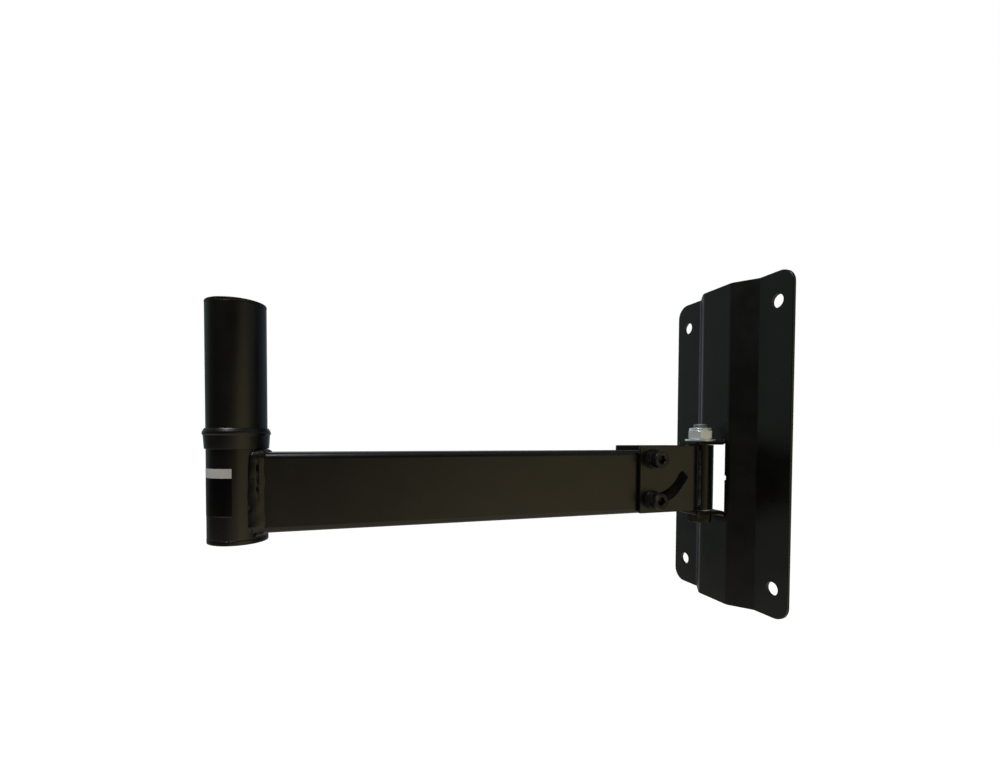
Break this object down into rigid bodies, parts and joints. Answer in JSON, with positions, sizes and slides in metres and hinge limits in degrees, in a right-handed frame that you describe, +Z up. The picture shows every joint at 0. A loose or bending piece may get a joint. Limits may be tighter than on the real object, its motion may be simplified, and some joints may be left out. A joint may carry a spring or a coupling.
{
  "type": "speaker wall bracket",
  "caption": "Wall bracket for a loudspeaker: pressed steel wall plate, swivelling knuckle, tilting box-section arm and an upright round pole with a seat collar.",
  "frame": {"origin": "on the wall, in the middle of the four wall holes", "axes": "+Z up, +Y into the wall, the arm reaching out along -Y, the swivel axis along Z and the tilt axis along X"},
  "size_m": [0.13, 0.4155, 0.278],
  "materials": {
    "powder_coat": "satin powder coat",
    "zinc": "bright zinc plating",
    "black_oxide": "black oxide, lightly oiled",
    "moulded_black": "fine moulded grain",
    "nylon": "natural nylon"
  },
  "bodies": {
    "wall_mount": {"wall_plate": "powder_coat", "swivel_bolt": "black_oxide", "swivel_nut": "zinc", "swivel_nut_insert": "nylon", "swivel_washer": "zinc", "thrust_washer": "zinc"},
    "knuckle": {"swivel_tube": "powder_coat", "tilt_clevis": "powder_coat", "knuckle_weld": "powder_coat", "pivot_screw": "black_oxide", "pivot_washer": "black_oxide", "pivot_spring_washer": "black_oxide", "pivot_far_washer": "black_oxide", "pivot_nut": "black_oxide", "pivot_nut_insert": "nylon"},
    "arm": {"arm_tube": "powder_coat", "pole_tube": "powder_coat", "pole_weld": "powder_coat", "seat_collar": "moulded_black", "pole_cap": "moulded_black", "pole_plug": "moulded_black", "lock_screw": "black_oxide", "lock_washer": "black_oxide", "lock_spring_washer": "black_oxide", "lock_far_washer": "black_oxide", "lock_nut": "black_oxide", "lock_nut_insert": "nylon"}
  },
  "joints": [
    {"name": "swivel", "type": "hinge", "parent": "wall_mount", "child": "knuckle", "pos_m": [0, -0.031, -0.0285], "axis": [0, 0, 1], "range_deg": [-80, 80]},
    {"name": "tilt", "type": "hinge", "parent": "knuckle", "child": "arm", "pos_m": [0, -0.0935, -0.0112], "axis": [1, 0, 0], "range_deg": [0, 62]}
  ]
}
